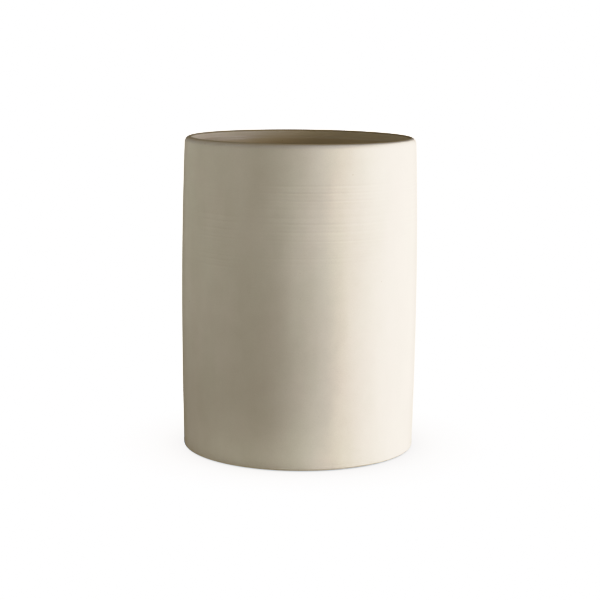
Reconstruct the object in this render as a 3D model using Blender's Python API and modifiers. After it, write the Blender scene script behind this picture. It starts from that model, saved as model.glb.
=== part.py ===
"""Cylinder vase: a wheel-thrown stoneware body, glazed inside, standing on four felt pads.

Metres, +Z up. The origin is the centre of the plane that the vase stands on.
Run it with: blender --background --python part.py
"""

import math

import bmesh
import bpy

# Driving dimensions of the clay body.
BODY_HEIGHT = 0.262
BELLY_RADIUS = 0.0995
RIM_RADIUS = 0.0969
FOOT_RADIUS = 0.0980
BELLY_HEIGHT = 0.1245
WALL_AT_RIM = 0.0052
WALL_AT_FLOOR = 0.0066
FLOOR_THICKNESS = 0.0070
FLOOR_FILLET = 0.0100

# The lip is an uneven round: wide outside, tight inside.
LIP_OUTER_WIDTH = 0.0042
LIP_OUTER_DROP = 0.0050
LIP_INNER_DROP = 0.0022

# The heel is trimmed crisp, with only its edge taken off.
HEEL_ROUND = 0.0012
HEEL_BAND = 0.0140

# Underside: a foot ring around a shallow recess.
RING_WIDTH = 0.0080
RING_ROUND = 0.0010
RECESS_DEPTH = 0.0020
RECESS_SLOPE = 0.0015

# Glaze coat inside the vase.
GLAZE_THICKNESS = 0.0005
GLAZE_BELOW_LIP = 0.0050

# Felt pads, stuck to the roof of the recess and standing proud of the foot ring.
PAD_COUNT = 4
PAD_RADIUS = 0.0060
PAD_CIRCLE_RADIUS = 0.0740
PAD_PROUD = 0.0010
PAD_EDGE_ROUND = 0.0004
PAD_SIDES = 32

# Room left between neighbouring pieces.
GAP = 0.0003

# Fineness of the turned shapes.
TURN_STEPS = 80
WALL_RINGS = 6
MERGE_DISTANCE = 0.00001
SHARP_ANGLE = math.radians(40)

# Heights that follow from the sizes above.
FOOT_Z = PAD_PROUD
LIP_Z = FOOT_Z + BODY_HEIGHT
BELLY_Z = FOOT_Z + BELLY_HEIGHT
SHOULDER_Z = LIP_Z - LIP_OUTER_DROP
HEEL_Z = FOOT_Z + HEEL_BAND
RECESS_Z = FOOT_Z + RECESS_DEPTH
FLOOR_Z = RECESS_Z + FLOOR_THICKNESS


def clear_scene():
    for obj in list(bpy.data.objects):
        bpy.data.objects.remove(obj, do_unlink=True)


def new_collection(name):
    collection = bpy.data.collections.new(name)
    bpy.context.scene.collection.children.link(collection)
    return collection


def new_material(name, colour, roughness):
    material = bpy.data.materials.new(name)
    material.use_nodes = True
    shader = material.node_tree.nodes["Principled BSDF"]
    shader.inputs["Base Color"].default_value = (*colour, 1.0)
    shader.inputs["Roughness"].default_value = roughness
    shader.inputs["Metallic"].default_value = 0.0
    material.diffuse_color = (*colour, 1.0)
    return material


def outer_radius(z):
    """The barrel: widest at the belly, falling off as a parabola towards the rim and the foot."""
    if z > BELLY_Z:
        share = (z - BELLY_Z) / (SHOULDER_Z - BELLY_Z)
        return BELLY_RADIUS - (BELLY_RADIUS - RIM_RADIUS) * share ** 2
    share = (BELLY_Z - z) / (BELLY_Z - FOOT_Z)
    return BELLY_RADIUS - (BELLY_RADIUS - FOOT_RADIUS) * share ** 2


def inner_radius(z):
    """The hollow follows the outside, through a wall that thickens towards the floor."""
    share = (LIP_Z - z) / (LIP_Z - FLOOR_Z)
    wall = WALL_AT_RIM + (WALL_AT_FLOOR - WALL_AT_RIM) * share
    return outer_radius(min(z, SHOULDER_Z)) - wall


def arc(centre, radii, start_degrees, end_degrees, segments):
    """Points on an ellipse arc in the profile plane, as (radius, height) pairs."""
    points = []
    for i in range(segments + 1):
        angle = math.radians(start_degrees + (end_degrees - start_degrees) * i / segments)
        points.append((centre[0] + radii[0] * math.cos(angle), centre[1] + radii[1] * math.sin(angle)))
    return points


def heights(start, end, count):
    """Evenly spaced heights from start to end, without the two ends."""
    return [start + (end - start) * i / (count + 1) for i in range(1, count + 1)]


def hollow_profile(offset, top_z, fillet_segments):
    """The inside of the vase moved inwards by offset: floor centre, floor fillet, wall up to top_z."""
    fillet_z = FLOOR_Z + FLOOR_FILLET
    fillet_centre = (inner_radius(fillet_z) - FLOOR_FILLET, fillet_z)
    fillet = FLOOR_FILLET - offset
    points = [(0.0, FLOOR_Z + offset)]
    points += arc(fillet_centre, (fillet, fillet), -90, 0, fillet_segments)
    points += [(inner_radius(z) - offset, z) for z in heights(fillet_z, top_z, WALL_RINGS)]
    points.append((inner_radius(top_z) - offset, top_z))
    return points


def lip_profile():
    """Over the lip, from the inside of the wall to the outside."""
    inner_edge_z = LIP_Z - LIP_INNER_DROP
    inner_edge = inner_radius(inner_edge_z)
    crest = RIM_RADIUS - LIP_OUTER_WIDTH
    inner_round = arc((crest, inner_edge_z), (crest - inner_edge, LIP_INNER_DROP), 180, 90, 4)
    outer_round = arc((crest, SHOULDER_Z), (LIP_OUTER_WIDTH, LIP_OUTER_DROP), 90, 0, 6)
    return inner_round[1:] + outer_round[1:]


def outside_profile():
    """Down the outside, from below the lip to the foot ring's outer edge."""
    round_top = FOOT_Z + HEEL_ROUND
    points = [(outer_radius(z), z) for z in heights(SHOULDER_Z, HEEL_Z, WALL_RINGS)]
    points += [(outer_radius(z), z) for z in (HEEL_Z, 2 * round_top - FOOT_Z)]
    centre = (outer_radius(round_top) - HEEL_ROUND, round_top)
    points += arc(centre, (HEEL_ROUND, HEEL_ROUND), 0, -90, 4)
    return points


def underside_profile(ring_outer):
    """Under the foot: the ring's face, its rounded inner edge, the recess and the centre."""
    ring_inner = ring_outer - RING_WIDTH
    points = arc((ring_inner, FOOT_Z + RING_ROUND), (RING_ROUND, RING_ROUND), -90, -180, 2)
    points.append((ring_inner - RING_ROUND - RECESS_SLOPE, RECESS_Z))
    points.append((0.0, RECESS_Z))
    return points


def turned_piece(name, profile, material, collection):
    """A closed profile, from the axis back to the axis, turned about Z."""
    mesh = bpy.data.meshes.new(name)
    vertices = [(radius, 0.0, z) for radius, z in profile]
    edges = [(i, i + 1) for i in range(len(profile) - 1)]
    mesh.from_pydata(vertices, edges, [])
    mesh.materials.append(material)
    piece = bpy.data.objects.new(name, mesh)
    collection.objects.link(piece)
    screw = piece.modifiers.new("turn", "SCREW")
    screw.axis = "Z"
    screw.angle = math.tau
    screw.steps = TURN_STEPS
    screw.render_steps = TURN_STEPS
    screw.use_merge_vertices = True
    screw.merge_threshold = MERGE_DISTANCE
    screw.use_smooth_shade = True
    return piece


def vase_body(collection):
    clay = new_material("stoneware_clay", (0.78, 0.71, 0.59), 0.85)
    profile = hollow_profile(0.0, LIP_Z - LIP_INNER_DROP, 6)
    profile += lip_profile()
    profile += outside_profile()
    profile += underside_profile(profile[-1][0])
    return turned_piece("vase_body", profile, clay, collection)


def inner_glaze(collection):
    """The glaze coat: a thin cup just inside the clay, stopping below the lip."""
    glaze = new_material("liner_glaze", (0.50, 0.44, 0.37), 0.35)
    top_z = LIP_Z - GLAZE_BELOW_LIP
    inside = hollow_profile(GAP + GLAZE_THICKNESS, top_z, 4)
    outside = hollow_profile(GAP, top_z, 4)
    return turned_piece("inner_glaze", inside + outside[::-1], glaze, collection)


def pad_mesh(felt):
    """A felt disc with its lower rim rounded over. Its origin is its underside's centre."""
    thickness = RECESS_Z - GAP
    mesh = bpy.data.meshes.new("foot_pad")
    build = bmesh.new()
    bmesh.ops.create_cone(
        build, cap_ends=True, segments=PAD_SIDES, radius1=PAD_RADIUS, radius2=PAD_RADIUS, depth=thickness
    )
    bmesh.ops.translate(build, verts=build.verts, vec=(0.0, 0.0, thickness / 2))
    low_rim = [e for e in build.edges if all(v.co.z < thickness / 2 for v in e.verts)]
    bmesh.ops.bevel(
        build, geom=low_rim, offset=PAD_EDGE_ROUND, segments=2, profile=0.5, affect="EDGES"
    )
    build.to_mesh(mesh)
    build.free()
    mesh.materials.append(felt)
    mesh.shade_smooth()
    mesh.set_sharp_from_angle(angle=SHARP_ANGLE)
    return mesh


def foot_pads(collection):
    felt = new_material("pad_felt", (0.20, 0.17, 0.14), 0.95)
    mesh = pad_mesh(felt)
    for i in range(PAD_COUNT):
        angle = math.tau * (i + 0.5) / PAD_COUNT
        pad = bpy.data.objects.new(f"foot_pad_{i + 1}", mesh)
        pad.location = (PAD_CIRCLE_RADIUS * math.cos(angle), PAD_CIRCLE_RADIUS * math.sin(angle), 0.0)
        pad.rotation_euler = (0.0, 0.0, angle)
        collection.objects.link(pad)


def main():
    clear_scene()
    parts = new_collection("cylinder_vase")
    vase_body(parts)
    inner_glaze(parts)
    foot_pads(parts)


main()
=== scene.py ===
"""Looks for the cylinder vase: a fine turned clay body, a glaze coat inside and felt pads under the foot.

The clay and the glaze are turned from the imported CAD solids' own profiles, and the pads from their
sizes. A profile runs from the axis inside, over the top, to the axis underneath. Lengths are in
metres, and MM is one millimetre. Azimuths are in degrees from the front, positive to the right.
"""

import math

import bmesh
import bpy
import numpy as np
from mathutils import Matrix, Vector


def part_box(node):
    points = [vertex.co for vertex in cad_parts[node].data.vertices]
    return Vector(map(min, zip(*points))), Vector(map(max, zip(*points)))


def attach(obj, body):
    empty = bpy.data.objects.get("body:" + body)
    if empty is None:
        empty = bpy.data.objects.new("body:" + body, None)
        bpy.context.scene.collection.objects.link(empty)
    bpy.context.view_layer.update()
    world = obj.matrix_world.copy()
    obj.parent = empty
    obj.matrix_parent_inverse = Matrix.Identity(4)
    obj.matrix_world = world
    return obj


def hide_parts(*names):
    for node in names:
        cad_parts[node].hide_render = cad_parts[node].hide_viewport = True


MM = 0.001

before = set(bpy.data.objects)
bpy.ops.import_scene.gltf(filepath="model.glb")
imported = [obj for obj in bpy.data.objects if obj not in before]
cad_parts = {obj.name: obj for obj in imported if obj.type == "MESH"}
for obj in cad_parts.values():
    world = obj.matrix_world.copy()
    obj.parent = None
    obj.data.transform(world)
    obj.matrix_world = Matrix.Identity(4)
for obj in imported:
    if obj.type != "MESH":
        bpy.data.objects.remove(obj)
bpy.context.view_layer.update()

BODY_LOW, BODY_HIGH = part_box("vase_body")
FOOT_Z = BODY_LOW.z
LIP_Z = BODY_HIGH.z
BODY_HEIGHT = LIP_Z - FOOT_Z
BELLY_RADIUS = BODY_HIGH.x
GLAZE_TOP_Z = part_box("inner_glaze")[1].z
PAD_NODES = sorted(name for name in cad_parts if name.startswith("foot_pad"))

# Turned meshes. A CAD vertex is on the profile when it is this near the plane y = 0.
TURN_SEGMENTS = 192
CURVE_STEPS = 24
SHORTEST_STEP = 0.3 * MM
PLANE_TOLERANCE = 0.002 * MM

# Turning lines left on the outside by the potter's rib, in a band below the lip. Each is a ridge with
# a groove beside it.
BAND_LOW_Z = FOOT_Z + 0.655 * BODY_HEIGHT
BAND_HIGH_Z = FOOT_Z + 0.885 * BODY_HEIGHT
LOWEST_LINE_Z = FOOT_Z + 0.600 * BODY_HEIGHT
LINE_SEED = 11
LINE_SPACING = (4.4 * MM, 7.6 * MM)
LINE_HEIGHT = (0.04 * MM, 0.09 * MM)
LINE_WIDTH = (0.5 * MM, 0.9 * MM)
LINE_WOBBLE = 0.35 * MM
LINE_WOBBLE_WAVES = 3
GROOVE_SHARE = 0.5
GROOVE_OFFSET = 1.9
# Each line comes and goes round the wall by this share, and is never stronger than the limit.
LINE_COMES_AND_GOES = 0.45
COMES_AND_GOES_WAVES = 6
COMES_AND_GOES_SEED = 500
STRONGEST_LINE = 1.6
FINE_LINE_SPACING = 3.1 * MM
FINE_LINE_HEIGHT = 0.016 * MM
FINE_LINE_DRIFT = 1.3
FINE_LINE_DRIFT_LENGTH = 7 * MM
FINE_LINES_START = (LOWEST_LINE_Z - 3 * MM, LOWEST_LINE_Z + 4 * MM)
FINE_LINES_END = (BAND_HIGH_Z - 6 * MM, BAND_HIGH_Z + 2 * MM)
# Where the lines show: azimuth, half width in degrees, strength, and the lowest and highest share of
# the body's height.
LINE_PATCHES = (
    (16, 37, 1.1, 0.640, 0.900),
    (-42, 14, 0.9, 0.615, 0.790),
    (80, 22, 1.5, 0.660, 0.880),
    (133, 26, 0.9, 0.620, 0.850),
    (-110, 30, 0.8, 0.600, 0.800),
    (-165, 22, 1.0, 0.640, 0.880),
)
# A patch is full up to the first share of its half width and gone past the second. Its top and bottom
# fade over a share of the body's height, and outside the patches the lines keep a trace.
PATCH_EDGES = (0.5, 1.15)
LINE_PATCH_FADE = 0.012
LINE_FLOOR = 0.14

# Distance between the clay's rings. Outside: the step above each height, from the lip down.
OUTSIDE_STEPS = (
    (LIP_Z - 6 * MM, 0.35 * MM),
    (BAND_HIGH_Z + 3 * MM, 2.2 * MM),
    (LOWEST_LINE_Z - 4 * MM, 0.42 * MM),
    (FOOT_Z + 16 * MM, 2.2 * MM),
    (FOOT_Z + 4.5 * MM, 0.9 * MM),
)
HEEL_STEP = 0.45 * MM
RECESS_STEP = 2.4 * MM
RECESS_EDGE = 0.8 * BELLY_RADIUS
INSIDE_LIP_DEPTH = 9 * MM
INSIDE_LIP_STEP = 0.4 * MM
GLAZED_STEP = 9.0 * MM

# Slow unevenness of a hand-thrown wall, always inwards from the CAD surface.
OUT_OF_ROUND = 0.22 * MM
FOOT_WAVE_SEED = 21
RIM_WAVE_SEED = 22
OUT_OF_ROUND_WAVES = 3
LIP_WAVE = 0.18 * MM
LIP_WAVE_SEED = 31
LIP_WAVES = 4
LIP_WAVE_BAND = (LIP_Z - 14 * MM, LIP_Z - 1 * MM)

# The wall's relief stops this far above the foot.
PLAIN_HEEL = 3 * MM

# Trimming marks under the foot.
TRIM_HEIGHT = 2.6 * MM
TRIM_EDGE = 0.86 * BELLY_RADIUS
TRIM_PITCH = 7.2 * MM
TRIM_DEPTH = 0.07 * MM
TRIM_START = (4 * MM, 14 * MM)

# Counted in rings inwards from the lip's crest: where the inside's tone is full, where the painted shade
# line on the lip ends, and how many rings it fades over.
INSIDE_RINGS = 8
RIM_SHADE_RINGS = 3
RIM_SHADE_FADE = 2

# Glaze coat, thinner and wavy at its upper edge.
GLAZE_CLEARANCE = 0.06 * MM
GLAZE_EDGE_FEATHER = 2.6 * MM
GLAZE_EDGE_THINNING = 0.85
GLAZE_EDGE_WAVE = 0.55 * MM
GLAZE_EDGE_WAVE_BAND = 9 * MM
GLAZE_EDGE_WAVES = 7
GLAZE_EDGE_SEED = 41
GLAZE_EDGE_ROUND = 0.05 * MM
GLAZE_EDGE_DEPTH = 12 * MM
GLAZE_EDGE_STEP = 0.45 * MM
GLAZE_STEP = 1.8 * MM

# The spiral that the potter's fingers leave. Its pitch changes slowly, and near the lip it has been
# smoothed over.
THROWING_RING_PITCH = 9.5 * MM
THROWING_RING_DEPTH = 0.22 * MM
THROWING_RING_SHARPNESS = 1.5
THROWING_RING_START = (6 * MM, 16 * MM)
THROWING_RING_DRIFT = 0.22
THROWING_DRIFT_WAVES = 4
THROWING_DRIFT_SEED = 51
PITCH_CHANGE = 0.5
PITCH_CHANGE_LENGTH = 41 * MM
SMOOTHED_BAND = (LIP_Z - 60 * MM, LIP_Z - 14 * MM)
SMOOTHED_SHARE = 0.8

# Felt pads.
PAD_SEGMENTS = 72
PAD_RING_SPACING = 0.3 * MM
PAD_CLEARANCE = 0.05 * MM
PAD_BULGE = 0.12 * MM
PAD_TOP_BEVEL = 0.25 * MM
PAD_WORN_EDGE = 0.5 * MM
PAD_WORN_STEPS = 4
PAD_FUZZ = 0.09 * MM
PAD_SMOOTH_CENTRE = (0.2 * MM, 1.5 * MM)

# A noise is nearly always in this part of its range.
NOISE_RANGE = (0.25, 0.75)

# Clay: colours as linear red, green and blue, and the part of a noise's range between the two tints.
CLAY_PINK = (0.815, 0.748, 0.640)
CLAY_GREEN = (0.792, 0.742, 0.628)
HUE_SIZE = 30 * MM
HUE_SQUEEZE = 0.6
HUE_RANGE = (0.3, 0.7)
# Mottling: the size, detail and roughness of each noise, how much it is squeezed upwards (less than 1
# draws it out) and the change of tone from its darkest to its lightest.
CLOUDS = (52 * MM, 2.5, 0.5)
CLOUD_SQUEEZE = 0.45
CLOUD_TONES = (0.964, 1.034)
STREAKS = (15 * MM, 2.0, 0.5)
STREAK_SQUEEZE = 0.16
STREAK_TONES = (-0.017, 0.017)
BLOTCHES = (17 * MM, 3.0, 0.6)
BLOTCH_TONES = (-0.020, 0.020)
GRAIN = (0.9 * MM, 2.0, 0.6)
GRAIN_RANGE = (0.2, 0.8)
GRAIN_TONES = (-0.022, 0.022)
# The turning lines, from a groove to a ridge: height as a share of the tallest line, and tone, which is
# painted shade in the grooves and painted highlight on the ridges.
LINE_RANGE = (-0.6, 1.0)
LINE_SHADE_AND_HIGHLIGHT = (-0.014, 0.034)
# Painted shade: the lip's crest is a little darker than the wall, where it faces the dark overhead, and the
# bare clay inside it is darker too.
CREST_SHADE_BAND = 1.4 * MM
CREST_SHADE_FADE = (LIP_Z - CREST_SHADE_BAND, LIP_Z - 0.2 * CREST_SHADE_BAND)
CREST_SHADE_TONE = 0.70
INSIDE_TONE = 0.87
# Painted shade: a thin dark line runs round the lip's inner edge, where it turns away from the light.
RIM_SHADE_TONE = 0.52
# Painted shade: the edge that the vase stands on is a little darker too, as contact shadow.
HEEL_SHADE_BAND = 1.6 * MM
HEEL_SHADE_FADE = (FOOT_Z + 0.25 * HEEL_SHADE_BAND, FOOT_Z + HEEL_SHADE_BAND)
HEEL_SHADE_TONE = 0.80
# Painted shade: where the surface turns away from the eye, the colour is darkened, standing in for the
# shading of its fine tooth.
GRAZING = (0.72, 0.90)
GRAZING_SHADE_TONE = 0.86
# Specks: spacing, radius, share of the places that have one, strength.
IRON_SPECK = (0.28, 0.20, 0.13)
IRON_SPECKS = (13 * MM, 0.55 * MM, 0.30, 0.34)
FINE_SPECKS = (5 * MM, 0.22 * MM, 0.35, 0.30)
GLAZE_SPECKS = (9 * MM, 0.5 * MM, 0.3, 0.4)
SPECK_SOFTNESS = 0.6
# Tooth: the noise's size, detail and roughness, then the depth and strength of its bump.
PITS = (0.55 * MM, 3.0, 0.7)
PIT_RANGE = (0.3, 0.62)
PIT_BUMP = (0.03 * MM, 0.7)
SPONGE_SIZE = 5 * MM
SPONGE_SQUEEZE = 5.0
SPONGE_BUMP = (0.05 * MM, 0.6)
CLAY_ROUGHNESS = (0.80, 0.92)
CLAY_SPECULAR = 0.22

# Glaze.
GLAZE_WARM = (0.51, 0.445, 0.37)
GLAZE_COOL = (0.485, 0.435, 0.37)
GLAZE_EDGE = (0.60, 0.545, 0.455)
GLAZE_EDGE_BAND = 9.0 * MM
GLAZE_CLOUDS = (24 * MM, 3.0, 0.55)
GLAZE_CLOUD_TONES = (0.95, 1.05)
# From the deepest hollow between the throwing rings to a ridge: depth as a share, and tone.
POOL_RANGE = (-1.0, 0.0)
POOL_TONES = (-0.05, 0.04)
GLAZE_HUE_SIZE = 40 * MM
GLAZE_RIPPLE_SIZE = 3.5 * MM
GLAZE_RIPPLE_BUMP = (0.05 * MM, 0.5)
GLAZE_ROUGHNESS = (0.34, 0.46)

# Felt.
FELT_DARK = (0.13, 0.11, 0.09)
FELT_LIGHT = (0.24, 0.21, 0.17)
# Fibres: the size, detail and roughness of the noise along X and Y, squeezed across the fibre.
FELT_FIBRES_X = (0.7 * MM, 4.0, 0.7)
FELT_FIBRES_Y = (0.6 * MM, 4.0, 0.7)
FELT_SQUEEZE = 3.0
FELT_FLECK_SIZE = 2.0 * MM
FELT_FLECK_RANGE = (0.35, 0.65)
FELT_BUMP = (0.15 * MM, 0.8)
FELT_SHEEN = 0.25
FELT_ROUGHNESS = 0.96

# Studio: a sweep that glows, a ring of soft light part way up the walls, and white light from the right.
FLOOR_RADIUS = 30.0
FLOOR_SEGMENTS = 96
FLOOR_COLOUR = (0.30, 0.30, 0.30)
FLOOR_GLOW_COLOUR = (1.0, 1.04, 0.99)
# Glow close to the vase, by distance from its axis: dark under the foot, bright beside it.
NEAR_GLOW = ((0.0, 0.05), (0.102, 0.12), (0.116, 0.33), (0.145, 0.16), (0.26, 0.02))
NEAR_GLOW_SIDES = (0.64, 1.50)
NEAR_GLOW_AZIMUTH = -20
NEAR_GLOW_SPREAD = 55
# Glow under the vase, to see the underside by. It ends inside the foot ring.
UNDER_GLOW = 0.24
UNDER_GLOW_REACH = (0.078, 0.094)
UNDER_GLOW_COLOUR = (1.0, 1.10, 1.30)
# Glow of the open sweep: dim in the vase's shade, full beyond it, stronger on the left.
FAR_GLOW = (0.04, 0.28)
FAR_GLOW_REACH = (0.18, 0.42)
FAR_GLOW_SIDES = (1.0, 1.9)
FAR_GLOW_AZIMUTH = -90
FAR_GLOW_SPREAD = 90
# The sweep as the camera sees it: how open to the sky a place is, and the grey that it is printed as.
FLOOR_SHADE = ((0.0, 0.55), (0.25, 0.78), (0.5, 0.90), (0.75, 0.97), (1.0, 1.0))
FLOOR_SHADE_REACH = 0.07
FLOOR_SHADE_SAMPLES = 32
# The ambient ring: colour, strength, and the elevations between which it starts and stops.
AMBIENT_COLOUR = (1.0, 1.21, 1.72)
AMBIENT_STRENGTH = 0.32
AMBIENT_LOW_EDGE = (8, 20)
AMBIENT_HIGH_EDGE = (38, 52)
LIGHT_COLOUR = (1.0, 1.0, 1.07)
# Broad distant lights: name, azimuth, elevation and softness in degrees, strength.
DISTANT_LIGHTS = (("key_window", 72, 2, 22, 1.39), ("side_window", 90, 2, 18, 0.28))
# Softboxes that stand on the floor, lower than the lip: name, azimuth in degrees, strength.
LOW_SOFTBOXES = (("key_softbox", 70, 0.46), ("side_softbox", 92, 0.52), ("back_softbox", 178, 1.3))
SOFTBOX_DISTANCE = 1.6
SOFTBOX_WIDTH = 0.5
SOFTBOX_HEIGHT = 0.24
# A small spot straight above, aimed inside the lip, for the vase's floor.
DOWNLIGHT_HEIGHT = 2.2
DOWNLIGHT_REACH = 0.078
DOWNLIGHT_POWER = 72.0
DOWNLIGHT_SOFT_EDGE = 0.4
DOWNLIGHT_RADIUS = 0.01
# How the picture is printed: scene light to shown light, and how much less green and blue than red
# it shows.
PRINT_CURVE = ((0.10, 0.15), (0.21, 0.255), (0.37, 0.52), (0.55, 0.86), (0.70, 0.945))
PRINT_WARMTH = (0.0, 0.038, 0.092)

# The photograph's viewpoint, measured from the vase's foot.
CAMERA_DISTANCE = 13.50 * BELLY_RADIUS
CAMERA_HEIGHT = 3.519 * BELLY_RADIUS
CAMERA_ASIDE = 0.0079 * BELLY_RADIUS
CAMERA_PITCH = math.radians(9.6)
CAMERA_ROLL = math.radians(0.508)
CAMERA_LENS = 96.03
CAMERA_SENSOR = 36.0


# ---------------------------------------------------------------- shapes

def cad_meridian(node):
    """The profile of a turned CAD node as (radius, height) rows, from the axis inside to the axis below."""
    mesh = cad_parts[node].data
    merged, index = {}, []
    for vertex in mesh.vertices:
        key = tuple(round(c, 6) for c in vertex.co)
        index.append(merged.setdefault(key, len(merged)))
    points = list(merged)
    in_plane = {i for i, p in enumerate(points) if abs(p[1]) < PLANE_TOLERANCE and p[0] > 0}
    neighbours = {i: set() for i in in_plane}
    for edge in mesh.edges:
        a, b = (index[v] for v in edge.vertices)
        if a != b and a in in_plane and b in in_plane:
            neighbours[a].add(b)
            neighbours[b].add(a)
    ends = [i for i in in_plane if len(neighbours[i]) == 1]
    current = max(ends, key=lambda i: points[i][2])
    chain, seen = [], set()
    while current is not None:
        chain.append((points[current][0], points[current][2]))
        seen.add(current)
        current = next((n for n in neighbours[current] if n not in seen), None)
    first, last = chain[0], chain[-1]
    return np.array([(0.0, first[1])] + chain + [(0.0, last[1])])


def blend_by_knots(points, knots, t, reach):
    """One level of a Catmull-Rom pyramid: each pair of points mixed over the knots that they span."""
    mixed = []
    for j in range(len(points) - 1):
        start, end = knots[j], knots[j + reach]
        mixed.append(((end - t) * points[j] + (t - start) * points[j + 1]) / (end - start))
    return mixed


def smooth_curve(points):
    """A dense centripetal Catmull-Rom curve through the profile's points."""
    padded = np.vstack([2 * points[0] - points[1], points, 2 * points[-1] - points[-2]])
    dense = []
    for i in range(len(points) - 1):
        p = padded[i:i + 4]
        gaps = np.linalg.norm(np.diff(p, axis=0), axis=1) ** 0.5
        knots = np.concatenate([[0.0], np.cumsum(gaps)])
        t = np.linspace(knots[1], knots[2], CURVE_STEPS, endpoint=False)[:, None]
        lines = blend_by_knots(p, knots, t, 1)
        parabolas = blend_by_knots(lines, knots, t, 2)
        dense += blend_by_knots(parabolas, knots[1:], t, 1)
    return np.vstack(dense + [points[-1:]])


def resample(curve, spacing):
    """Points along the curve whose distance apart is spacing(radius, height, inside)."""
    steps = np.linalg.norm(np.diff(curve, axis=0), axis=1)
    length = np.concatenate([[0.0], np.cumsum(steps)])
    crest = length[np.argmax(curve[:, 1])]
    at, picked = 0.0, []
    while at < length[-1]:
        picked.append(at)
        radius = np.interp(at, length, curve[:, 0])
        height = np.interp(at, length, curve[:, 1])
        at += spacing(radius, height, at < crest)
    if length[-1] - picked[-1] < SHORTEST_STEP:
        picked.pop()
    picked.append(length[-1])
    columns = [np.interp(picked, length, curve[:, c]) for c in range(2)]
    return np.column_stack(columns)


def profile_normals(profile):
    """Unit normals of the profile, pointing out of the material."""
    along = np.gradient(profile, axis=0)
    along /= np.linalg.norm(along, axis=1)[:, None]
    normals = np.column_stack([-along[:, 1], along[:, 0]])
    normals[0] = (0.0, 1.0)
    normals[-1] = (0.0, -1.0)
    return normals


def turned_faces(rings, segments):
    """Quads between the rings, and a fan of triangles at each pole. The poles are the last two vertices."""
    ring = np.arange(rings - 1)[:, None] * segments
    here = np.arange(segments)[None]
    after = (here + 1) % segments
    below = ring + segments
    quads = np.stack([ring + here, below + here, below + after, ring + after], axis=-1)
    faces = quads.reshape(-1, 4).tolist()
    first_pole = rings * segments
    last_ring = first_pole - segments
    for i in range(segments):
        j = (i + 1) % segments
        faces.append((first_pole, i, j))
        faces.append((last_ring + i, first_pole + 1, last_ring + j))
    return faces


def turned_object(name, profile, relief, lift=0.0):
    """Turns the profile about Z. relief and lift are (rings, segments) offsets along the normal and up."""
    segments = relief.shape[1]
    angles = np.arange(segments) * math.tau / segments
    normals = profile_normals(profile)
    radius = profile[:, 0, None] + relief * normals[:, 0, None]
    height = profile[:, 1, None] + relief * normals[:, 1, None] + lift
    rings = np.stack([radius * np.cos(angles), radius * np.sin(angles), height], axis=-1)[1:-1]
    poles = [(0.0, 0.0, profile[0, 1]), (0.0, 0.0, profile[-1, 1])]
    vertices = np.vstack([rings.reshape(-1, 3), poles])
    mesh = bpy.data.meshes.new(name)
    mesh.from_pydata(vertices.tolist(), [], turned_faces(len(rings), segments))
    mesh.shade_smooth()
    piece = bpy.data.objects.new(name, mesh)
    bpy.context.scene.collection.objects.link(piece)
    return piece


def store(piece, name, values):
    """Keeps a value for each ring vertex of a turned piece, for its material to read."""
    kept = piece.data.attributes.new(name, "FLOAT", "POINT")
    inner = values[1:-1].ravel()
    kept.data.foreach_set("value", np.concatenate([inner, [0.0, 0.0]]).astype(np.float32))


def all_round(values):
    """One value for each ring, repeated round the vase."""
    return np.repeat(values[:, None], TURN_SEGMENTS, axis=1)


def turns():
    """The share of a turn at each segment."""
    return np.arange(TURN_SEGMENTS) / TURN_SEGMENTS


def azimuths():
    """Azimuth of each segment in degrees: 0 at the front (-Y) and positive towards +X."""
    return (turns() * 360.0 + 90.0 + 180.0) % 360.0 - 180.0


def slow_wave(seed, waves):
    """A smooth closed wave round the vase, between -1 and 1."""
    random = np.random.default_rng(seed)
    total = np.zeros(TURN_SEGMENTS)
    for k in range(1, waves + 1):
        total += random.normal() / k * np.cos(k * math.tau * turns() + random.uniform(0, math.tau))
    return total / np.abs(total).max()


def smoothstep(low, high, value):
    """0 at low, 1 at high, with an easy start and end."""
    t = np.clip((value - low) / (high - low), 0.0, 1.0)
    return t * t * (3.0 - 2.0 * t)


def window(low, high, fade, value):
    """1 between low and high and 0 outside them, easing over a fade each side of both."""
    rise = smoothstep(low - fade, low + fade, value)
    return rise * (1.0 - smoothstep(high - fade, high + fade, value))


def line_mask(heights):
    """How strongly the turning lines show, as (heights, segments)."""
    share = (heights - FOOT_Z) / BODY_HEIGHT
    mask = np.full((len(heights), TURN_SEGMENTS), LINE_FLOOR)
    for centre, half_width, strength, low, high in LINE_PATCHES:
        away = np.abs((azimuths() - centre + 180.0) % 360.0 - 180.0)
        across = 1.0 - smoothstep(PATCH_EDGES[0] * half_width, PATCH_EDGES[1] * half_width, away)
        upwards = window(low, high, LINE_PATCH_FADE, share)
        mask = np.maximum(mask, strength * upwards[:, None] * across[None])
    return mask


def turning_line(heights, z, random):
    """One ridge with a groove beside it at height z, fading in and out round the wall."""
    width = random.uniform(*LINE_WIDTH)
    tall = random.uniform(*LINE_HEIGHT)
    seed = int(z / MM)
    wobble = LINE_WOBBLE * slow_wave(seed, LINE_WOBBLE_WAVES)
    mask = line_mask(np.array([z]))[0]
    change = LINE_COMES_AND_GOES * slow_wave(seed + COMES_AND_GOES_SEED, COMES_AND_GOES_WAVES)
    fade = np.clip(mask + change * mask, 0.0, STRONGEST_LINE)
    away = (heights[:, None] - z - wobble[None]) / width
    groove = GROOVE_SHARE * np.exp(-(away - GROOVE_OFFSET) ** 2)
    return tall * fade[None] * (np.exp(-away ** 2) - groove)


def fine_lines(heights):
    """The rib's fine lines over the whole band."""
    edge = smoothstep(*FINE_LINES_START, heights) * (1.0 - smoothstep(*FINE_LINES_END, heights))
    drift = FINE_LINE_DRIFT * np.sin(heights / FINE_LINE_DRIFT_LENGTH)
    fine = np.sin(heights * math.tau / FINE_LINE_SPACING + drift)
    return FINE_LINE_HEIGHT * (fine * edge)[:, None] * line_mask(heights)


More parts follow.
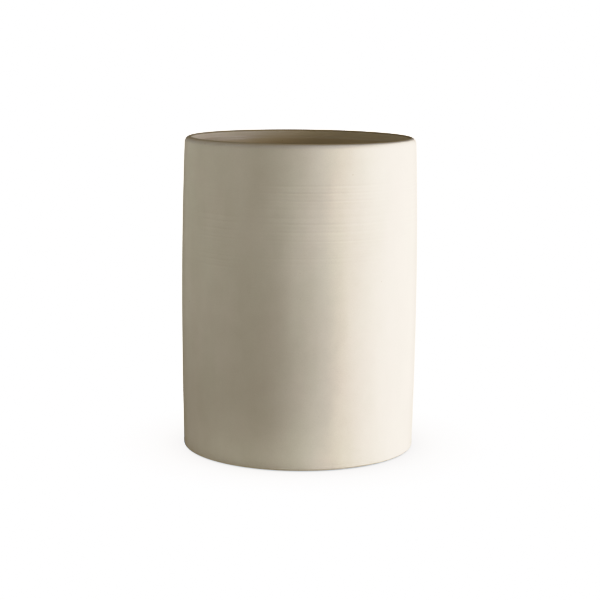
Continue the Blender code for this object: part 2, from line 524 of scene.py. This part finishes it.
def turning_lines(heights):
    """All the turning lines, as (rings, segments) heights: the band's going up, then those below it."""
    random = np.random.default_rng(LINE_SEED)
    relief = np.zeros((len(heights), TURN_SEGMENTS))
    z = BAND_LOW_Z
    while z < BAND_HIGH_Z:
        relief += turning_line(heights, z, random)
        z += random.uniform(*LINE_SPACING)
    z = BAND_LOW_Z - LINE_SPACING[0]
    while z > LOWEST_LINE_Z:
        relief += turning_line(heights, z, random)
        z -= random.uniform(*LINE_SPACING)
    return relief + fine_lines(heights)


def wall_unevenness(heights):
    """The slow out-of-round of the wall: 0 at its proudest, never outside the CAD surface."""
    share = (heights[:, None] - FOOT_Z) / BODY_HEIGHT
    at_foot = slow_wave(FOOT_WAVE_SEED, OUT_OF_ROUND_WAVES)[None]
    at_rim = slow_wave(RIM_WAVE_SEED, OUT_OF_ROUND_WAVES)[None]
    uneven = (1 - share) * at_foot + share * at_rim
    return 0.5 * OUT_OF_ROUND * (uneven - 1.0)


def lip_wave(heights):
    """How far the lip dips below dead level, fading out down the wall."""
    near_lip = smoothstep(*LIP_WAVE_BAND, heights)
    return 0.5 * LIP_WAVE * near_lip[:, None] * (slow_wave(LIP_WAVE_SEED, LIP_WAVES) - 1.0)[None]


def clay_spacing(radius, height, inside):
    """Ring spacing: fine on the lip, the turning lines and the heel, coarse where glaze hides the clay."""
    if inside:
        return INSIDE_LIP_STEP if LIP_Z - height < INSIDE_LIP_DEPTH else GLAZED_STEP
    for lowest, step in OUTSIDE_STEPS:
        if height > lowest:
            return step
    return HEEL_STEP if radius > RECESS_EDGE else RECESS_STEP


def foot_turning(radius, height, after_crest):
    """Trimming marks under the foot: a shallow spiral of tool lines in the recess."""
    under = after_crest & (height < FOOT_Z + TRIM_HEIGHT) & (radius < TRIM_EDGE)
    spiral = np.cos((radius[:, None] / TRIM_PITCH + turns()[None]) * math.tau)
    fade = smoothstep(*TRIM_START, radius) * under
    return -TRIM_DEPTH * (1.0 - spiral) * fade[:, None]


def clay_body():
    """The thrown and turned stoneware: outside, lip, foot ring and recess, one closed mesh."""
    profile = resample(smooth_curve(cad_meridian("vase_body")), clay_spacing)
    radius, height = profile[:, 0], profile[:, 1]
    ring = np.arange(len(profile))
    crest = int(np.argmax(height))
    outside = (ring > crest) & (height > FOOT_Z + PLAIN_HEEL)
    lines = turning_lines(height) * outside[:, None]
    relief = lines + wall_unevenness(height) * outside[:, None]
    relief += foot_turning(radius, height, ring > crest)
    piece = turned_object("clay_body", profile, relief, lip_wave(height))
    store(piece, "turning", lines / LINE_HEIGHT[1])
    inside = smoothstep(crest, crest - INSIDE_RINGS, ring)
    store(piece, "inside", all_round(inside))
    # Painted shade: a thin dark line round the lip's inner edge.
    rim_shade_end = crest - RIM_SHADE_RINGS
    painted_rim_shade = smoothstep(crest + 1, crest, ring) * smoothstep(rim_shade_end - RIM_SHADE_FADE, rim_shade_end, ring)
    store(piece, "painted_rim_shade", all_round(painted_rim_shade))
    return piece


def glaze_spacing(radius, height, inside):
    """Ring spacing of the glaze: fine at its upper edge."""
    return GLAZE_EDGE_STEP if LIP_Z - height < GLAZE_EDGE_DEPTH else GLAZE_STEP


def throwing_rings(profile):
    """The potter's finger spiral: on the floor it winds outwards, on the wall it climbs."""
    steps = np.linalg.norm(np.diff(profile, axis=0), axis=1)
    travelled = np.concatenate([[0.0], np.cumsum(steps)])
    drift = THROWING_RING_DRIFT * slow_wave(THROWING_DRIFT_SEED, THROWING_DRIFT_WAVES)
    change = PITCH_CHANGE * np.sin(travelled / PITCH_CHANGE_LENGTH)
    wound = (travelled / THROWING_RING_PITCH + change)[:, None]
    ridge = 0.5 + 0.5 * np.cos((wound - turns()[None] + drift[None]) * math.tau)
    from_centre = smoothstep(*THROWING_RING_START, travelled)
    below_edge = 1.0 - SMOOTHED_SHARE * smoothstep(*SMOOTHED_BAND, profile[:, 1])
    hollow = 1.0 - ridge ** THROWING_RING_SHARPNESS
    return -THROWING_RING_DEPTH * hollow * (from_centre * below_edge)[:, None]


def liner_glaze():
    """The glaze coat: close to the clay, showing the throwing rings, and thin at its upper edge."""
    cad = cad_meridian("inner_glaze")
    top_index = int(np.argmax(cad[:, 1]))
    cad_front, cad_back = cad[:top_index + 1], cad[:top_index:-1]
    thickness = cad_front[0, 1] - cad_back[0, 1]
    gap = cad_back[0, 1] - cad_meridian("vase_body")[0, 1]
    path = resample(smooth_curve(cad_back), glaze_spacing)
    normals = profile_normals(path)
    normals[-1] = normals[-2]
    back = path - normals * (gap - GLAZE_CLEARANCE)
    top = path[-1, 1]
    thin = 1.0 - GLAZE_EDGE_THINNING * smoothstep(top - GLAZE_EDGE_FEATHER, top, path[:, 1])
    front = back + normals * ((gap - GLAZE_CLEARANCE + thickness) * thin)[:, None]
    edge = 0.5 * (front[-1] + back[-1]) + np.array([0.0, GLAZE_EDGE_ROUND])
    profile = np.vstack([front, edge, back[::-1]])
    is_front = np.arange(len(profile)) < len(front)
    rings = throwing_rings(profile) * is_front[:, None]
    near_edge = smoothstep(top - GLAZE_EDGE_WAVE_BAND, top, profile[:, 1])
    dip = (slow_wave(GLAZE_EDGE_SEED, GLAZE_EDGE_WAVES) - 1.0)[None]
    piece = turned_object("liner_glaze", profile, rings, 0.5 * GLAZE_EDGE_WAVE * near_edge[:, None] * dip)
    store(piece, "pooling", rings / THROWING_RING_DEPTH)
    return piece


def pad_profile(radius, low, high):
    """A felt disc's profile: flat above, a bulging side, a worn-round lower edge, flat below."""
    side_radius = radius - PAD_BULGE
    worn = PAD_WORN_EDGE
    points = [(0.0, high), (side_radius - PAD_TOP_BEVEL, high), (side_radius, high - PAD_TOP_BEVEL)]
    points.append((radius, 0.5 * (low + high)))
    for i in range(PAD_WORN_STEPS + 1):
        angle = -0.5 * math.pi * i / PAD_WORN_STEPS
        points.append((side_radius - worn + worn * math.cos(angle), low + worn + worn * math.sin(angle)))
    points.append((0.0, low))
    return np.array(points)


def felt_pad(node):
    """One felt pad, from its CAD disc, reaching up to the roof of the recess on its adhesive."""
    low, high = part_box(node)
    roof = cad_meridian("vase_body")[-1, 1]
    profile = pad_profile(0.5 * (high.x - low.x), low.z, roof - PAD_CLEARANCE)
    rings = []
    for a, b in zip(profile[:-1], profile[1:]):
        pieces = max(1, round(float(np.linalg.norm(b - a)) / PAD_RING_SPACING))
        rings += [a + (b - a) * i / pieces for i in range(pieces)]
    rings = np.array(rings + [profile[-1]])
    random = np.random.default_rng(int(node[-1]))
    fuzz = random.uniform(-1.0, 0.0, (len(rings), PAD_SEGMENTS))
    fuzz = (fuzz + np.roll(fuzz, 1, axis=0) + np.roll(fuzz, 1, axis=1)) / 3.0
    hidden = rings[:, 1] > 0.5 * (rings[:, 1].max() + high.z)
    fuzz[hidden] = 0.0
    inner = smoothstep(*PAD_SMOOTH_CENTRE, rings[:, 0])
    piece = turned_object(node.replace("foot", "felt"), rings, PAD_FUZZ * fuzz * inner[:, None])
    piece.location = (0.5 * (low.x + high.x), 0.5 * (low.y + high.y), 0.0)
    return piece


# ------------------------------------------------------------- materials

def add(tree, kind, inputs=None, **settings):
    """A new node. inputs maps an input's name or number to a value or to another node's output."""
    made = tree.nodes.new("ShaderNode" + kind)
    for name, value in settings.items():
        setattr(made, name, value)
    for name, value in (inputs or {}).items():
        if isinstance(value, bpy.types.NodeSocket):
            tree.links.new(value, made.inputs[name])
        else:
            made.inputs[name].default_value = value
    return made


def maths(tree, operation, a, b):
    return add(tree, "Math", {0: a, 1: b}, operation=operation).outputs[0]


def rescale(tree, value, low, high, out_low, out_high):
    """Maps value from low..high to out_low..out_high, without going past either end."""
    ranges = {"Value": value, "From Min": low, "From Max": high, "To Min": out_low, "To Max": out_high}
    return add(tree, "MapRange", ranges, clamp=True).outputs["Result"]


def from_noise(tree, value, out_low, out_high):
    """Maps the usual part of a noise's range to out_low..out_high."""
    return rescale(tree, value, *NOISE_RANGE, out_low, out_high)


def attribute(tree, name):
    return add(tree, "Attribute", attribute_name=name).outputs["Fac"]


def up(tree, place):
    return add(tree, "SeparateXYZ", {0: place}).outputs["Z"]


def stretched(tree, place, x, y, z):
    return add(tree, "Mapping", {"Vector": place, "Scale": (x, y, z)}).outputs["Vector"]


def noise(tree, place, size, detail=2.0, roughness=0.5):
    """Noise between 0 and 1 whose features are about size metres across."""
    inputs = {"Vector": place, "Scale": 1.0 / size, "Detail": detail, "Roughness": roughness}
    return add(tree, "TexNoise", inputs).outputs["Fac"]


def squeezed_noise(tree, place, squeeze, size, detail=2.0, roughness=0.5):
    """Noise whose features are squeezed upwards: tall when squeeze is less than 1, flat when it is more."""
    return noise(tree, stretched(tree, place, 1.0, 1.0, squeeze), size, detail, roughness)


def new_material(name):
    """A material with a Principled shader. Returns it, its tree, the shader and the shaded place."""
    material = bpy.data.materials.new(name)
    material.use_nodes = True
    tree = material.node_tree
    shader = tree.nodes["Principled BSDF"]
    place = add(tree, "TexCoord").outputs["Object"]
    return material, tree, shader, place


def tinted(tree, colour_a, colour_b, hue, brightness):
    """A colour between two tints by hue, times brightness."""
    tint = add(tree, "Mix", data_type="RGBA")
    tint.inputs[6].default_value = (*colour_a, 1.0)
    tint.inputs[7].default_value = (*colour_b, 1.0)
    tree.links.new(hue, tint.inputs[0])
    scaled = add(tree, "VectorMath", {0: tint.outputs[2], "Scale": brightness}, operation="SCALE")
    return scaled.outputs["Vector"]


def mix_colour(tree, factor, a, b):
    """Colour a turning into the fixed colour b as factor goes to 1."""
    mix = add(tree, "Mix", data_type="RGBA")
    tree.links.new(factor, mix.inputs[0])
    tree.links.new(a, mix.inputs[6])
    mix.inputs[7].default_value = (*b, 1.0)
    return mix.outputs[2]


def bumped(tree, shader, layers):
    """Chains bump nodes: layers are (height socket, distance in metres, strength)."""
    normal = None
    for height, distance, strength in layers:
        inputs = {"Height": height, "Distance": distance, "Strength": strength}
        if normal is not None:
            inputs["Normal"] = normal
        normal = add(tree, "Bump", inputs).outputs["Normal"]
    tree.links.new(normal, shader.inputs["Normal"])


def specked(tree, place, colour, spacing, radius, share, strength):
    """The colour with small iron specks: one possible dot in each cell, of which share are there."""
    inputs = {"Vector": place, "Scale": 1.0 / spacing}
    dots = add(tree, "TexVoronoi", inputs, feature="F1")
    reach = radius / spacing
    near = rescale(tree, dots.outputs["Distance"], SPECK_SOFTNESS * reach, reach, 1.0, 0.0)
    chance = add(tree, "SeparateColor", {0: dots.outputs["Color"]}).outputs[0]
    there = maths(tree, "LESS_THAN", chance, share)
    dots = maths(tree, "MULTIPLY", maths(tree, "MULTIPLY", near, there), strength)
    return mix_colour(tree, dots, colour, IRON_SPECK)


def clay_mottling(tree, place, blotches):
    """The wall's brightness: clouds, upright streaks, blotches, grain, and painted shade and highlight on
    the turning lines.
    """
    brightness = from_noise(tree, squeezed_noise(tree, place, CLOUD_SQUEEZE, *CLOUDS), *CLOUD_TONES)
    streaks = from_noise(tree, squeezed_noise(tree, place, STREAK_SQUEEZE, *STREAKS), *STREAK_TONES)
    grain = rescale(tree, noise(tree, place, *GRAIN), *GRAIN_RANGE, *GRAIN_TONES)
    # Painted shade in the lines' grooves and painted highlight on their ridges.
    lines = rescale(tree, attribute(tree, "turning"), *LINE_RANGE, *LINE_SHADE_AND_HIGHLIGHT)
    for change in (streaks, from_noise(tree, blotches, *BLOTCH_TONES), grain, lines):
        brightness = maths(tree, "ADD", brightness, change)
    return brightness


def painted_edge_shades(tree, place):
    """Factors that darken the clay: the inside, and painted shade on the crest, the heel, the line on the
    lip and at a grazing angle.
    """
    height = up(tree, place)
    facing = add(tree, "LayerWeight", {"Blend": 0.5}).outputs["Facing"]
    return (
        rescale(tree, height, *CREST_SHADE_FADE, 1.0, CREST_SHADE_TONE),
        rescale(tree, height, *HEEL_SHADE_FADE, HEEL_SHADE_TONE, 1.0),
        rescale(tree, attribute(tree, "inside"), 0.0, 1.0, 1.0, INSIDE_TONE),
        rescale(tree, attribute(tree, "painted_rim_shade"), 0.0, 1.0, 1.0, RIM_SHADE_TONE),
        rescale(tree, facing, *GRAZING, 1.0, GRAZING_SHADE_TONE),
    )


def clay_material():
    """Matt cream stoneware: soft mottling, upright clouds, iron specks, fine grog and turning lines."""
    material, tree, shader, place = new_material("matte_stoneware")
    shader.inputs["Specular IOR Level"].default_value = CLAY_SPECULAR
    blotches = noise(tree, place, *BLOTCHES)
    brightness = clay_mottling(tree, place, blotches)
    # Painted shade on the crest, the heel, the lip's inner line and the grazing edges.
    for tone in painted_edge_shades(tree, place):
        brightness = maths(tree, "MULTIPLY", brightness, tone)
    hue = rescale(tree, squeezed_noise(tree, place, HUE_SQUEEZE, HUE_SIZE), *HUE_RANGE, 0.0, 1.0)
    colour = tinted(tree, CLAY_PINK, CLAY_GREEN, hue, brightness)
    colour = specked(tree, place, colour, *IRON_SPECKS)
    colour = specked(tree, place, colour, *FINE_SPECKS)
    tree.links.new(colour, shader.inputs["Base Color"])
    pits = rescale(tree, noise(tree, place, *PITS), *PIT_RANGE, 0.0, 1.0)
    sponge = squeezed_noise(tree, place, SPONGE_SQUEEZE, SPONGE_SIZE)
    bumped(tree, shader, [(sponge, *SPONGE_BUMP), (pits, *PIT_BUMP)])
    tree.links.new(from_noise(tree, blotches, *CLAY_ROUGHNESS), shader.inputs["Roughness"])
    return material


def glaze_material():
    """Satin liner glaze: a little browner than the clay, paler on the ridges, pooled in the hollows."""
    material, tree, shader, place = new_material("satin_liner_glaze")
    clouds = noise(tree, place, *GLAZE_CLOUDS)
    pooling = rescale(tree, attribute(tree, "pooling"), *POOL_RANGE, *POOL_TONES)
    brightness = maths(tree, "ADD", from_noise(tree, clouds, *GLAZE_CLOUD_TONES), pooling)
    hue = rescale(tree, noise(tree, place, GLAZE_HUE_SIZE), *HUE_RANGE, 0.0, 1.0)
    colour = tinted(tree, GLAZE_WARM, GLAZE_COOL, hue, brightness)
    edge = rescale(tree, up(tree, place), GLAZE_TOP_Z - GLAZE_EDGE_BAND, GLAZE_TOP_Z, 0.0, 1.0)
    colour = mix_colour(tree, edge, colour, GLAZE_EDGE)
    colour = specked(tree, place, colour, *GLAZE_SPECKS)
    tree.links.new(colour, shader.inputs["Base Color"])
    ripple = noise(tree, place, GLAZE_RIPPLE_SIZE)
    bumped(tree, shader, [(ripple, *GLAZE_RIPPLE_BUMP)])
    tree.links.new(from_noise(tree, clouds, *GLAZE_ROUGHNESS), shader.inputs["Roughness"])
    return material


def felt_material():
    """Dense grey-brown wool felt: flecked fibres, no shine."""
    material, tree, shader, place = new_material("wool_felt")
    shader.inputs["Roughness"].default_value = FELT_ROUGHNESS
    shader.inputs["Sheen Weight"].default_value = FELT_SHEEN
    along_x = noise(tree, stretched(tree, place, 1.0, FELT_SQUEEZE, 1.0), *FELT_FIBRES_X)
    along_y = noise(tree, stretched(tree, place, FELT_SQUEEZE, 1.0, 1.0), *FELT_FIBRES_Y)
    brightness = maths(tree, "ADD", along_x, along_y)
    hue = rescale(tree, noise(tree, place, FELT_FLECK_SIZE), *FELT_FLECK_RANGE, 0.0, 1.0)
    colour = tinted(tree, FELT_DARK, FELT_LIGHT, hue, brightness)
    tree.links.new(colour, shader.inputs["Base Color"])
    bumped(tree, shader, [(along_x, *FELT_BUMP), (along_y, *FELT_BUMP)])
    return material


# ---------------------------------------------------------------- studio

def curve_of(tree, value, points):
    """A smooth curve through (value, result) points, as a node."""
    reach = points[-1][0]
    ramp = add(tree, "FloatCurve", {"Value": rescale(tree, value, 0.0, reach, 0.0, 1.0)})
    knots = ramp.mapping.curves[0].points
    knots[0].location = (0.0, points[0][1])
    knots[-1].location = (1.0, points[-1][1])
    for at, result in points[1:-1]:
        knots.new(at / reach, result)
    ramp.mapping.update()
    return ramp.outputs["Value"]


def side_gain(tree, place, azimuth, spread, gains):
    """Goes from the first gain to the second as a place's direction from the axis nears the azimuth."""
    angle = math.radians(azimuth)
    flat = add(tree, "VectorMath", {0: place}, operation="NORMALIZE").outputs["Vector"]
    towards = (math.sin(angle), -math.cos(angle), 0.0)
    share = add(tree, "VectorMath", {0: flat, 1: towards}, operation="DOT_PRODUCT").outputs["Value"]
    return rescale(tree, share, math.cos(math.radians(spread)), 1.0, *gains)


def floor_glow(tree, place, distance):
    """The sweep's glow: a pool close to the vase, strongest in front, and the open sweep around it."""
    near = curve_of(tree, distance, NEAR_GLOW)
    in_front = side_gain(tree, place, NEAR_GLOW_AZIMUTH, NEAR_GLOW_SPREAD, NEAR_GLOW_SIDES)
    far = rescale(tree, distance, *FAR_GLOW_REACH, *FAR_GLOW)
    on_the_left = side_gain(tree, place, FAR_GLOW_AZIMUTH, FAR_GLOW_SPREAD, FAR_GLOW_SIDES)
    near = maths(tree, "MULTIPLY", near, in_front)
    far = maths(tree, "MULTIPLY", far, on_the_left)
    return maths(tree, "ADD", near, far)


def unprinted(level):
    """The scene light, as red, green and blue, that the picture shows as a neutral grey of this level."""
    lights = [0.0] + [light for light, shown in PRINT_CURVE] + [1.0]
    colour = []
    for warmth in PRINT_WARMTH:
        levels = [0.0] + [shown - warmth for light, shown in PRINT_CURVE] + [1.0]
        colour.append(float(np.interp(level, levels, lights)))
    return colour


def shade_tint(tree, openness):
    """White where the floor is open to the sky, a neutral grey where the vase shades it."""
    ramp = add(tree, "ValToRGB", {0: openness})
    stops = ramp.color_ramp.elements
    for place, level in FLOOR_SHADE[1:-1]:
        stops.new(place)
    for stop, (place, level) in zip(stops, FLOOR_SHADE):
        stop.position = place
        stop.color = (*unprinted(level), 1.0)
    return ramp.outputs["Color"]


def floor_as_light(tree, place):
    """The sweep as the vase sees it: pale paper that glows, and a cool glow under the foot."""
    distance = add(tree, "VectorMath", {0: place}, operation="LENGTH").outputs["Value"]
    around = floor_glow(tree, place, distance)
    glow = add(tree, "Emission", {"Color": (*FLOOR_GLOW_COLOUR, 1.0), "Strength": around})
    under = rescale(tree, distance, *UNDER_GLOW_REACH, UNDER_GLOW, 0.0)
    beneath = add(tree, "Emission", {"Color": (*UNDER_GLOW_COLOUR, 1.0), "Strength": under})
    paper = add(tree, "BsdfDiffuse", {"Color": (*FLOOR_COLOUR, 1.0)})
    glows = add(tree, "AddShader", {0: glow.outputs[0], 1: beneath.outputs[0]})
    return add(tree, "AddShader", {0: glows.outputs[0], 1: paper.outputs[0]}).outputs[0]


def floor_as_seen(tree):
    """The sweep as the camera sees it: white, with a soft contact shadow."""
    openness = add(tree, "AmbientOcclusion", {"Distance": FLOOR_SHADE_REACH}, samples=FLOOR_SHADE_SAMPLES)
    shade = shade_tint(tree, openness.outputs["AO"])
    return add(tree, "Emission", {"Color": shade, "Strength": 1.0}).outputs[0]


def floor_material():
    """A white sweep that lights the vase a little. The camera sees through it from below."""
    material = bpy.data.materials.new("pale_floor")
    material.use_nodes = True
    tree = material.node_tree
    tree.nodes.clear()
    geometry = add(tree, "NewGeometry")
    lit = floor_as_light(tree, geometry.outputs["Position"])
    seen = add(tree, "LightPath").outputs["Is Camera Ray"]
    surface = add(tree, "MixShader", {0: seen, 1: lit, 2: floor_as_seen(tree)})
    from_below = maths(tree, "MULTIPLY", seen, geometry.outputs["Backfacing"])
    clear = add(tree, "BsdfTransparent")
    surface = add(tree, "MixShader", {0: from_below, 1: surface.outputs[0], 2: clear.outputs[0]})
    output = add(tree, "OutputMaterial")
    tree.links.new(surface.outputs[0], output.inputs["Surface"])
    return material


def studio_floor():
    mesh = bpy.data.meshes.new("studio_floor")
    build = bmesh.new()
    bmesh.ops.create_circle(build, cap_ends=True, segments=FLOOR_SEGMENTS, radius=FLOOR_RADIUS)
    build.to_mesh(mesh)
    build.free()
    floor = bpy.data.objects.new("studio_floor", mesh)
    mesh.materials.append(floor_material())
    bpy.context.scene.collection.objects.link(floor)


def elevation_ramp(tree, upward, edges, out_low, out_high):
    """Maps a direction's upward part between two elevations in degrees to out_low..out_high."""
    low, high = (math.sin(math.radians(edge)) for edge in edges)
    return rescale(tree, upward, low, high, out_low, out_high)


def ambient_ring(tree):
    """1 in the ring of directions that light comes from, falling to 0 at the horizon and overhead."""
    upward = up(tree, add(tree, "TexCoord").outputs["Generated"])
    above = elevation_ramp(tree, upward, AMBIENT_LOW_EDGE, 0.0, 1.0)
    below = elevation_ramp(tree, upward, AMBIENT_HIGH_EDGE, 1.0, 0.0)
    return maths(tree, "MULTIPLY", above, below)


def studio_world():
    """White behind the object for the camera; as a light, a cool ring under a dark ceiling."""
    world = bpy.data.worlds.new("studio")
    world.use_nodes = True
    tree = world.node_tree
    tree.nodes.clear()
    strength = maths(tree, "MULTIPLY", ambient_ring(tree), AMBIENT_STRENGTH)
    dim = add(tree, "Background", {"Color": (*AMBIENT_COLOUR, 1.0), "Strength": strength})
    white = add(tree, "Background", {"Color": (1.0, 1.0, 1.0, 1.0), "Strength": 1.0})
    seen = add(tree, "LightPath").outputs["Is Camera Ray"]
    mix = add(tree, "MixShader", {0: seen, 1: dim.outputs[0], 2: white.outputs[0]})
    output = add(tree, "OutputWorld")
    tree.links.new(mix.outputs[0], output.inputs["Surface"])
    bpy.context.scene.world = world


def put_light(name, data, place):
    """Adds a light of the studio's colour that the camera doesn't see."""
    data.color = LIGHT_COLOUR
    light = bpy.data.objects.new(name, data)
    light.matrix_world = place
    light.visible_camera = False
    bpy.context.scene.collection.objects.link(light)


def distant_light(name, azimuth, elevation, softness, strength):
    """A broad, distant light."""
    data = bpy.data.lights.new(name, "SUN")
    data.energy = strength
    data.angle = math.radians(softness)
    turn = Matrix.Rotation(math.radians(azimuth), 4, "Z")
    tilt = Matrix.Rotation(math.radians(90.0 - elevation), 4, "X")
    put_light(name, data, turn @ tilt)


def low_softbox(name, azimuth, strength):
    """An upright softbox on the floor, facing the vase. It lights the outside but not the mouth."""
    data = bpy.data.lights.new(name, "AREA")
    data.shape = "RECTANGLE"
    data.size = SOFTBOX_WIDTH
    data.size_y = SOFTBOX_HEIGHT
    data.energy = strength * math.pi * SOFTBOX_DISTANCE ** 2
    turn = Matrix.Rotation(math.radians(azimuth), 4, "Z")
    move = Matrix.Translation((0.0, -SOFTBOX_DISTANCE, 0.5 * SOFTBOX_HEIGHT))
    upright = Matrix.Rotation(math.pi / 2, 4, "X")
    put_light(name, data, turn @ move @ upright)


def downlight():
    """Lights the floor inside the vase and stays clear of the lip."""
    data = bpy.data.lights.new("downlight", "SPOT")
    data.energy = DOWNLIGHT_POWER
    data.spot_size = 2.0 * math.atan(DOWNLIGHT_REACH / (DOWNLIGHT_HEIGHT - LIP_Z))
    data.spot_blend = DOWNLIGHT_SOFT_EDGE
    data.shadow_soft_size = DOWNLIGHT_RADIUS
    put_light("downlight", data, Matrix.Translation((0.0, 0.0, DOWNLIGHT_HEIGHT)))


def camera():
    data = bpy.data.cameras.new("camera")
    data.lens = CAMERA_LENS
    data.sensor_width = CAMERA_SENSOR
    data.clip_end = 4.0 * FLOOR_RADIUS
    eye = bpy.data.objects.new("camera", data)
    place = Matrix.Translation((CAMERA_ASIDE, -CAMERA_DISTANCE, FOOT_Z + CAMERA_HEIGHT))
    pitch = Matrix.Rotation(math.pi / 2 - CAMERA_PITCH, 4, "X")
    roll = Matrix.Rotation(CAMERA_ROLL, 4, "Z")
    eye.matrix_world = place @ pitch @ roll
    bpy.context.scene.collection.objects.link(eye)
    bpy.context.scene.camera = eye


def print_look(view):
    """Plain colour, with a contrast curve for each of red, green and blue."""
    view.view_transform = "Standard"
    view.use_curve_mapping = True
    for curve, warmth in zip(view.curve_mapping.curves, PRINT_WARMTH):
        for scene_light, shown_light in PRINT_CURVE:
            curve.points.new(scene_light, shown_light - warmth)
    view.curve_mapping.update()


def place_piece(piece, material, node):
    """Gives a piece its material and sets it in the place of its CAD node."""
    piece.data.materials.append(material)
    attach(piece, "root")
    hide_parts(node)


def main():
    place_piece(clay_body(), clay_material(), "vase_body")
    place_piece(liner_glaze(), glaze_material(), "inner_glaze")
    felt = felt_material()
    for node in PAD_NODES:
        place_piece(felt_pad(node), felt, node)
    studio_floor()
    studio_world()
    for light in DISTANT_LIGHTS:
        distant_light(*light)
    for light in LOW_SOFTBOXES:
        low_softbox(*light)
    downlight()
    camera()
    print_look(bpy.context.scene.view_settings)


main()
